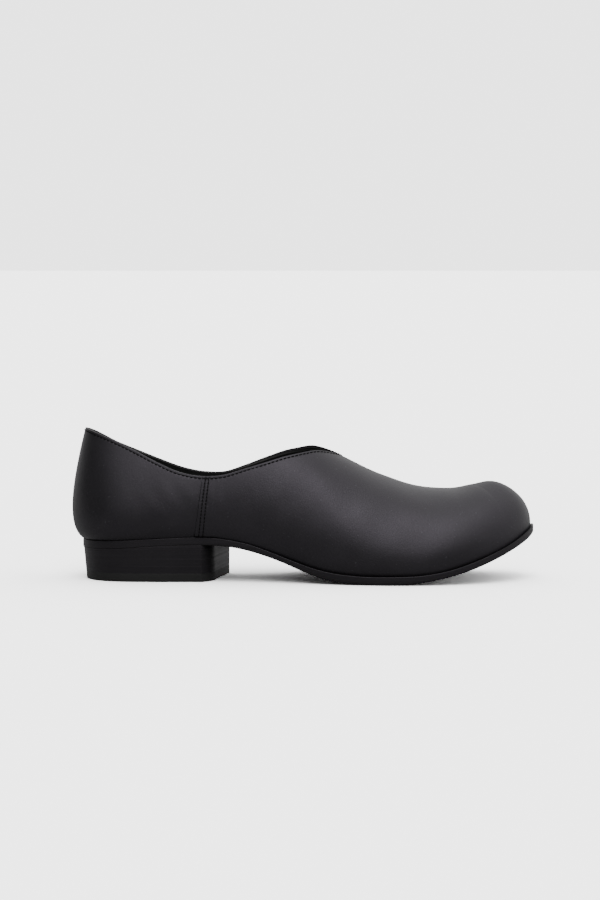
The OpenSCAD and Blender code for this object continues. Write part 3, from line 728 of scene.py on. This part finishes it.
PAD_FIRST, PAD_LAST = 0.8, 4.4
PAD_GAP, PAD_THICKNESS, PAD_CROWN = 0.08, 1.5, 0.32
# how far in from the inside edge each level of the pad lies, and its part of the thickness
PAD_LEVELS = [(-5.5, 0.0), (-4.4, 0.12), (-4.0, 0.45), (-4.4, 0.8), (-6.0, 0.95)]


def make_heel_pad():
    """A soft pad under the sock liner: crowned, and thin along its rounded edge."""
    build = Build()
    u = np.linspace(PAD_FIRST, PAD_LAST, 40)
    sheets = []
    for out, part in PAD_LEVELS:
        lift = INSOLE_TOP + PAD_GAP + PAD_THICKNESS * part
        crown = PAD_CROWN * (part == PAD_LEVELS[-1][1])
        sheets.append(placed(across(u, inside_edge(u) + out, SEAT_LINE, lift, 22, crown)))
    stack_sheets(build, sheets)
    pad = build.make("heel_cushion", 80)
    return pad


# ---------------------------------------------------------------- sole and heel
# the sole's edge from below: how far out from its lip, and height from the line named
SOLE_LEVELS = [
    (-1.55, SOLE_LINE, 0.0), (-1.15, SOLE_LINE, 0.02), (-0.55, SOLE_LINE, 0.38),
    (-0.12, SOLE_LINE, 0.85), (0, SOLE_LINE, 1.3), (0.02, SEAT_LINE, -2.2),
    (0, SEAT_LINE, -0.75), (0, SEAT_LINE, -0.6), (-0.1, SEAT_LINE, -0.4),
    (-0.3, SEAT_LINE, -0.32), (-1.0, SEAT_LINE, -LAYER_GAP)]
LIP_START, LIP_RUN = 4, 4
BEVEL_START, BEVEL_RUN, HEEL_BEVEL = 4.8, 0.9, 0.04


def lip(u):
    """How far the sole stands out of the upper's edge: almost flush at the heel."""
    return HEEL_LIP + (SOLE_LIP - HEEL_LIP) * ease((u - LIP_START) / LIP_RUN)


def make_outsole():
    """The sole, bevelled below and rounded on top."""
    build = Build()
    u = np.concatenate([np.linspace(HEEL_TIP, 12, 170)[:-1], np.linspace(12, TOE_TIP, 90)])
    # flush with the heel at the back, so that only the front part is bevelled
    bevelled = HEEL_BEVEL + (1 - HEEL_BEVEL) * ease((u - BEVEL_START) / BEVEL_RUN)
    sheets = []
    for out, line, lift in SOLE_LEVELS:
        cut = out * bevelled if line is SOLE_LINE else out
        sheets.append(placed(across(u, lip(u) + cut, line, lift, 46)))
    stack_sheets(build, sheets)
    return build.make("outsole_leather", 50)


BREAST_OUTER, BREAST_INNER, BREAST_HOLLOW = 5.23, 5.6, 1.5
OUTER_CORNER, INNER_CORNER, OUTER_PART, INNER_PART = 7, 1, 0.3, 0.1
HEEL_TAPER, SEAT_HEIGHT = 2.2, 24
TOP_PIECE, LIFT = 5.5, 4.7
LEVELS = [0, *(TOP_PIECE + number * LIFT for number in range(4)), SEAT_HEIGHT - 0.2]
HEEL_ROWS, HEEL_COLUMNS = 90, 40


def heel_sheet(z, recess, line=None):
    """One level of the heel, from its back to the slanting front face with its round corner."""
    inset = HEEL_TAPER * np.clip(1 - z / SEAT_HEIGHT, 0, 1) + recess
    f = np.linspace(0, 1, HEEL_ROWS + 1)
    shorter = recess / STATION_LENGTH
    k = (1 - np.cos(np.linspace(0, math.pi, HEEL_COLUMNS + 1))) / 2
    a = edge_out(HEEL_TIP + (BREAST_OUTER - shorter - HEEL_TIP) * f, OUTER, -inset)
    b = edge_out(HEEL_TIP + (BREAST_INNER - shorter - HEEL_TIP) * f, INNER, -inset)
    p = a[:, None] + (b - a)[:, None] * k[None, :, None]
    corner = (OUTER_CORNER * np.maximum(0, 1 - k / OUTER_PART)**3
              + INNER_CORNER * np.maximum(0, 1 - (1 - k) / INNER_PART)**3)
    p[..., 0] -= BREAST_HOLLOW * f[:, None]**3 * 4 * (k * (1 - k))[None, :]
    p[..., 0] -= f[:, None]**6 * corner[None, :]
    level = np.full(p.shape[:2], float(z))
    if line is not None:
        level = height(line, p[..., 0]) + z - SEAT_HEIGHT
    return placed(np.concatenate([p, level[..., None]], -1))


# height of the narrow band that keeps the shading of a tall flat side even
CRISP = 0.12


def make_heel_layer(name, low, high, rounding, line=None):
    build = Build()
    sheets = [heel_sheet(low, rounding), heel_sheet(low + 0.35 * rounding, 0.3 * rounding),
              heel_sheet(low + rounding, 0), heel_sheet(low + rounding + CRISP, 0)]
    if line is None:
        sheets += [heel_sheet(high - rounding - CRISP, 0), heel_sheet(high - rounding, 0)]
        sheets += [heel_sheet(high - 0.35 * rounding, 0.3 * rounding), heel_sheet(high, rounding)]
    else:
        sheets += [heel_sheet(high - rounding - CRISP, 0, line), heel_sheet(high, rounding, line)]
    stack_sheets(build, sheets)
    return build.make(name, 45)


# ---------------------------------------------------------------- stitches
def make_stitches(name, rows, pitch):
    build = Build()
    for row in rows:
        for points in stitch_points(*stitch_lines[row], pitch * MM):
            tube(build, points, THREAD / 2 * MM)
    return build.make(name, 80, 1e-8)


# ---------------------------------------------------------------- materials
class Nodes:
    """A short way to write a material's node tree."""

    def __init__(self, name):
        self.material = bpy.data.materials.new(name)
        self.material.use_nodes = True
        self.tree = self.material.node_tree
        self.shader = self.tree.nodes["Principled BSDF"]
        self.place = self.node("ShaderNodeTexCoord").outputs["Object"]

    def node(self, kind, inputs=None, **settings):
        n = self.tree.nodes.new(kind)
        for key, value in settings.items():
            setattr(n, key, value)
        for key, value in (inputs or {}).items():
            self.put(n.inputs[key], value)
        return n

    def put(self, socket, value):
        if isinstance(value, bpy.types.NodeSocket):
            self.tree.links.new(value, socket)
        else:
            socket.default_value = value

    def stretched(self, scale):
        return self.node("ShaderNodeMapping", {"Vector": self.place, "Scale": scale}).outputs[0]

    def noise(self, scale, detail=2.0, rough=0.5, place=None):
        return self.node("ShaderNodeTexNoise",
                         {"Vector": place or self.place, "Scale": scale, "Detail": detail,
                          "Roughness": rough}).outputs["Fac"]

    def cells(self, scale, feature="F1", place=None, output="Distance"):
        return self.node("ShaderNodeTexVoronoi", {"Vector": place or self.place, "Scale": scale},
                         feature=feature).outputs[output]

    def span(self, value, low, high, to_low=0.0, to_high=1.0):
        return self.node("ShaderNodeMapRange",
                         {"Value": value, "From Min": low, "From Max": high,
                          "To Min": to_low, "To Max": to_high}).outputs["Result"]

    def math(self, kind, a, b):
        return self.node("ShaderNodeMath", {0: a, 1: b}, operation=kind).outputs[0]

    def mix(self, amount, a, b):
        n = self.node("ShaderNodeMix", data_type="RGBA")
        self.put(n.inputs[0], amount)
        self.put(n.inputs[6], a)
        self.put(n.inputs[7], b)
        return n.outputs[2]

    def bump(self, value, depth, strength=1.0, under=None):
        inputs = {"Height": value, "Distance": depth, "Strength": strength}
        if under is not None:
            inputs["Normal"] = under
        return self.node("ShaderNodeBump", inputs).outputs["Normal"]

    def finish(self, color, roughness, normal, **values):
        self.put(self.shader.inputs["Base Color"], color)
        self.put(self.shader.inputs["Roughness"], roughness)
        self.put(self.shader.inputs["Normal"], normal)
        for key, value in values.items():
            self.shader.inputs[key.replace("_", " ")].default_value = value
        return self.material


def rgb(r, g, b):
    return (r, g, b, 1.0)


VIOLET_GREY = (0.95, 0.87, 1.0, 1.0)


def calf_material(name, dark, light, rough_low, rough_high, grain=1.0):
    """Smooth leather: fine pores, soft creases and a slightly uneven polish."""
    m = Nodes(name)
    cloud = m.noise(38.0, 3.0)
    fine = m.noise(900.0, 3.0, 0.6)
    color = m.mix(m.span(cloud, 0.35, 0.65), dark, light)
    specks = m.span(m.noise(700.0, 1.0), 0.70, 0.78)
    color = m.mix(m.math("MULTIPLY", specks, 0.5), color, rgb(0.05, 0.05, 0.055))
    rough = m.span(m.math("ADD", m.math("MULTIPLY", cloud, 0.6), m.math("MULTIPLY", fine, 0.4)),
                   0.3, 0.7, rough_low, rough_high)
    pores = m.bump(m.cells(1500.0), 0.00006 * grain, 0.55)
    creases = m.bump(m.noise(520.0, 4.0, 0.65), 0.00010 * grain, 0.5, pores)
    broad = m.bump(m.noise(110.0, 2.0), 0.00025, 0.35, creases)
    return m.finish(color, rough, broad, Specular_IOR_Level=0.42, Specular_Tint=VIOLET_GREY)


def lining_material(name, dark, light):
    m = Nodes(name)
    cloud = m.noise(60.0, 3.0)
    color = m.mix(m.span(cloud, 0.3, 0.7), dark, light)
    nap = m.bump(m.noise(1400.0, 4.0, 0.7), 0.00015, 0.7)
    wrinkles = m.bump(m.noise(90.0, 2.0), 0.0004, 0.4, nap)
    rough = m.span(m.noise(300.0), 0.3, 0.7, 0.62, 0.82)
    return m.finish(color, rough, wrinkles)


def stacked_material(name, dark, light, lines=1.0):
    """Leather laid in layers: fine level lines, rubbed and waxed on the edge."""
    m = Nodes(name)
    level = m.stretched((9.0, 9.0, 1500.0))
    streak = m.noise(1.0, 3.0, 0.6, level)
    cloud = m.noise(45.0, 3.0)
    color = m.mix(m.span(m.math("ADD", m.math("MULTIPLY", streak, 0.7),
                                m.math("MULTIPLY", cloud, 0.3)), 0.35, 0.65), dark, light)
    rough = m.span(streak, 0.3, 0.7, 0.40, 0.55)
    lined = m.bump(streak, 0.00004 * lines, 0.5)
    fine = m.bump(m.noise(800.0, 3.0), 0.00006, 0.5, lined)
    return m.finish(color, rough, fine, Specular_IOR_Level=0.38, Specular_Tint=VIOLET_GREY)


def rubber_material(name, dark, light):
    m = Nodes(name)
    cloud = m.noise(70.0, 3.0)
    color = m.mix(m.span(cloud, 0.3, 0.7), dark, light)
    stipple = m.bump(m.cells(900.0), 0.00012, 0.5)
    scuff = m.bump(m.noise(1.0, 4.0, 0.6, m.stretched((300.0, 60.0, 60.0))), 0.00015, 0.35, stipple)
    return m.finish(color, m.span(cloud, 0.3, 0.7, 0.5, 0.66), scuff)


def thread_material(name, dark, light):
    m = Nodes(name)
    strand = m.noise(1.0, 2.0, 0.5, m.stretched((2600.0, 2600.0, 5200.0)))
    color = m.mix(m.span(strand, 0.3, 0.7), dark, light)
    twist = m.bump(strand, 0.0001, 0.8)
    return m.finish(color, m.span(strand, 0.3, 0.7, 0.75, 0.95), twist, Specular_IOR_Level=0.15)


def fibre_material(name, dark, light, scale, roughness=0.8, stretch=(1, 1, 1)):
    """Pressed board, cork, cloth or foam: a soft speckled solid."""
    m = Nodes(name)
    place = m.stretched(stretch)
    speck = m.cells(scale, place=place)
    cloud = m.noise(scale / 9, 3.0, 0.6, place)
    color = m.mix(m.span(m.math("ADD", m.math("MULTIPLY", speck, 0.6),
                                m.math("MULTIPLY", cloud, 0.5)), 0.2, 0.8), dark, light)
    rough = m.span(cloud, 0.3, 0.7, roughness - 0.08, roughness + 0.08)
    pitted = m.bump(speck, 0.0002, 0.6)
    soft = m.bump(cloud, 0.0003, 0.4, pitted)
    return m.finish(color, rough, soft)


def metal_material(name, dark, light, roughness):
    m = Nodes(name)
    brushed = m.noise(1.0, 4.0, 0.6, m.stretched((60.0, 1500.0, 1500.0)))
    color = m.mix(m.span(brushed, 0.3, 0.7), dark, light)
    scratch = m.bump(brushed, 0.00003, 0.5)
    return m.finish(color, m.span(brushed, 0.3, 0.7, roughness - 0.08, roughness + 0.1), scratch,
                    Metallic=1.0)


# cloth is drawn out along its threads
THREADED = (1, 1, 0.35)

black_calf = calf_material("black_calf", rgb(0.0088, 0.0085, 0.0092),
                           rgb(0.0125, 0.0120, 0.0132), 0.40, 0.50)
black_lining = lining_material("black_lining", rgb(0.006, 0.006, 0.0063),
                               rgb(0.011, 0.0105, 0.011))
sole_leather = stacked_material("black_sole_edge", rgb(0.006, 0.006, 0.0062),
                                rgb(0.0105, 0.010, 0.0105), 0.4)
heel_leather = stacked_material("black_heel_stack", rgb(0.006, 0.0058, 0.006),
                                rgb(0.012, 0.0115, 0.012), 1.2)
black_rubber = rubber_material("black_rubber", rgb(0.007, 0.007, 0.007),
                               rgb(0.011, 0.011, 0.011))
black_thread = thread_material("black_thread", rgb(0.0015, 0.0015, 0.0015),
                               rgb(0.004, 0.004, 0.0045))
board = fibre_material("insole_board", rgb(0.28, 0.19, 0.11), rgb(0.42, 0.31, 0.19), 1200.0)
stiffener = fibre_material("stiffener_board", rgb(0.20, 0.15, 0.09), rgb(0.34, 0.27, 0.18),
                           1500.0)
cloth = fibre_material("interlining_cloth", rgb(0.55, 0.53, 0.47), rgb(0.72, 0.70, 0.64),
                       1800.0, 0.85, THREADED)
black_tape = fibre_material("black_tape", rgb(0.008, 0.008, 0.008), rgb(0.016, 0.016, 0.016),
                            1800.0, 0.85, THREADED)
cork = fibre_material("cork", rgb(0.30, 0.17, 0.07), rgb(0.48, 0.31, 0.15), 500.0)
foam = fibre_material("foam", rgb(0.035, 0.036, 0.042), rgb(0.07, 0.07, 0.08), 1600.0, 0.88)
steel = metal_material("shank_steel", rgb(0.42, 0.43, 0.45), rgb(0.55, 0.56, 0.58), 0.34)
nail_steel = metal_material("nail_steel", rgb(0.46, 0.44, 0.40), rgb(0.60, 0.58, 0.54), 0.30)

# ---------------------------------------------------------------- pieces
finish_piece(make_vamp(), black_calf, "upper_leather", "vamp")
finish_piece(make_quarter(OUTER, "lateral_quarter_leather"), black_calf, "upper_leather",
             "lateral_quarter")
finish_piece(make_quarter(INNER, "medial_quarter_leather"), black_calf, "upper_leather",
             "medial_quarter")
finish_piece(make_vamp_lining(), black_lining, "lining_leather", "vamp_lining")
finish_piece(make_quarter_lining(), black_lining, "lining_leather", "quarter_lining")
finish_piece(make_sock_liner(), black_lining, "lining_leather", "sock_liner")
finish_piece(make_heel_pad(), foam, "foam", "heel_pad")
finish_piece(make_outsole(), sole_leather, "sole_leather", "outsole")
finish_piece(make_heel_layer("heel_rand_leather", LEVELS[4], LEVELS[5], 0.09, SOLE_LINE),
             heel_leather, "heel_leather", "heel_rand")
for number, lift_name in enumerate(("heel_lift_lower", "heel_lift_middle", "heel_lift_upper")):
    finish_piece(make_heel_layer(lift_name + "_leather", LEVELS[number + 1], LEVELS[number + 2],
                                 0.06), heel_leather, "heel_leather", lift_name)
finish_piece(make_heel_layer("top_piece_rubber", LEVELS[0], LEVELS[1], 0.22), black_rubber,
             "heel_rubber", "top_piece")
finish_piece(make_stitches("edge_stitches", ["edge"], EDGE_STITCH), black_thread, "thread",
             "topline_stitching")
finish_piece(make_stitches("seam_stitches", ["outer_0", "outer_1", "inner_0", "inner_1"],
                           SEAM_STITCH), black_thread, "thread", "side_seam_stitching")

HIDDEN_FINISHES = {
    "toe_puff": stiffener, "heel_counter": stiffener, "vamp_interlining": cloth,
    "topline_tape": black_tape, "insole_board": board, "shank": steel, "shank_rivets": steel,
    "bottom_filler": cork, "heel_nails": nail_steel, "top_piece_nails": nail_steel,
}
for node_name, finish in HIDDEN_FINISHES.items():
    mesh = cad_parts[node_name].data
    mesh.materials.clear()
    mesh.materials.append(finish)

# ---------------------------------------------------------------- floor, light and camera
FLOOR_FIRST, FLOOR_HALF, FLOOR_LEVEL = 0.5, 60.0, -0.00005
PALE = 3.05
PAPER_SEEN, PAPER_LIT = 2.85, 0.35
BRIGHT_SIDE = (0.64, 0.77, 0.0)
# a tall narrow strip of light on the near side, in three parts
KEY_STRIP = (("key_low", 32, 0.45), ("key_middle", 52, 0.7), ("key_high", 72, 0.75))
KEY_ANGLE = 30


def paper_material():
    """Pale paper that throws less light back at the shoe than it shows."""
    m = Nodes("pale_paper")
    tone = m.span(m.noise(3.0), 0.3, 0.7, PAPER_SEEN, PAPER_SEEN * 1.005)
    lit = m.node("ShaderNodeBsdfDiffuse", {"Color": rgb(PAPER_LIT, PAPER_LIT, PAPER_LIT)})
    shown = m.node("ShaderNodeBsdfDiffuse", {"Color": tone})
    seen = m.node("ShaderNodeLightPath").outputs["Is Camera Ray"]
    both = m.node("ShaderNodeMixShader", {0: seen, 1: lit.outputs[0], 2: shown.outputs[0]})
    m.put(m.tree.nodes["Material Output"].inputs["Surface"], both.outputs[0])
    return m.material


def make_floor():
    """A wide sheet of pale paper on the ground."""
    half = np.geomspace(FLOOR_FIRST, FLOOR_HALF, 8)
    places = np.concatenate([-half[::-1], half])
    x, y = np.meshgrid(places, places, indexing="ij")
    build = Build()
    build.grid(np.stack([x, y, np.full_like(x, FLOOR_LEVEL)], -1))
    mesh = bpy.data.meshes.new("floor")
    mesh.from_pydata(np.concatenate(build.points).tolist(), [], build.faces)
    obj = bpy.data.objects.new("floor", mesh)
    bpy.context.scene.collection.objects.link(obj)
    mesh.materials.append(paper_material())


def make_sun(name, elevation, angle, strength):
    """A large soft light, far away on the outer side of the shoe."""
    data = bpy.data.lights.new(name, "SUN")
    data.angle, data.energy = math.radians(angle), strength
    light = bpy.data.objects.new(name, data)
    e = math.radians(elevation)
    toward = Vector((0.0, -math.cos(e), math.sin(e)))
    light.rotation_euler = toward.to_track_quat("Z", "Y").to_euler()
    bpy.context.scene.collection.objects.link(light)


def make_world(front, back, top, seen):
    """Studio surroundings: dark on the near side, bright behind and above, plain to the eye."""
    world = bpy.data.worlds.new("studio")
    world.use_nodes = True
    tree = world.node_tree
    new, link = tree.nodes.new, tree.links.new
    split = new("ShaderNodeSeparateXYZ")
    around = new("ShaderNodeTexCoord").outputs["Generated"]
    link(around, split.inputs[0])
    toward_bright = new("ShaderNodeVectorMath")
    toward_bright.operation = "DOT_PRODUCT"
    link(around, toward_bright.inputs[0])
    toward_bright.inputs[1].default_value = BRIGHT_SIDE
    sides = new("ShaderNodeMapRange")
    sides.interpolation_type = "SMOOTHSTEP"
    link(toward_bright.outputs["Value"], sides.inputs["Value"])
    for key, value in (("From Min", -0.5), ("From Max", 0.5), ("To Min", front), ("To Max", back)):
        sides.inputs[key].default_value = value
    raised = new("ShaderNodeMapRange")
    link(split.outputs["Z"], raised.inputs["Value"])
    for key, value in (("From Min", 0.4), ("From Max", 1.0), ("To Min", 0.0), ("To Max", top)):
        raised.inputs[key].default_value = value
    total = new("ShaderNodeMath")
    link(sides.outputs["Result"], total.inputs[0])
    link(raised.outputs["Result"], total.inputs[1])
    choice = new("ShaderNodeMix")
    link(new("ShaderNodeLightPath").outputs["Is Camera Ray"], choice.inputs[0])
    link(total.outputs[0], choice.inputs[2])
    choice.inputs[3].default_value = seen
    background = tree.nodes["Background"]
    link(choice.outputs[0], background.inputs["Strength"])
    background.inputs["Color"].default_value = rgb(1.0, 1.0, 1.0)
    bpy.context.scene.world = world


CAMERA_DISTANCE, CAMERA_RISE, VIEW_WIDTH = 1.9, math.radians(3.7), 0.390
AIM, SENSOR_WIDTH = (-0.0018, 0.0, 0.083), 36.0


def make_camera():
    data = bpy.data.cameras.new("camera")
    data.sensor_fit = "HORIZONTAL"
    data.sensor_width = SENSOR_WIDTH
    data.lens = SENSOR_WIDTH * CAMERA_DISTANCE / VIEW_WIDTH
    camera = bpy.data.objects.new("camera", data)
    away = Vector((0.0, -math.cos(CAMERA_RISE), math.sin(CAMERA_RISE)))
    camera.location = Vector(AIM) + CAMERA_DISTANCE * away
    camera.rotation_euler = (-away).to_track_quat("-Z", "Y").to_euler()
    bpy.context.scene.collection.objects.link(camera)
    bpy.context.scene.camera = camera


make_floor()
make_world(front=0.11, back=1.05, top=0.6, seen=PALE)
for light_name, light_height, light_strength in KEY_STRIP:
    make_sun(light_name, elevation=light_height, angle=KEY_ANGLE, strength=light_strength)
make_camera()
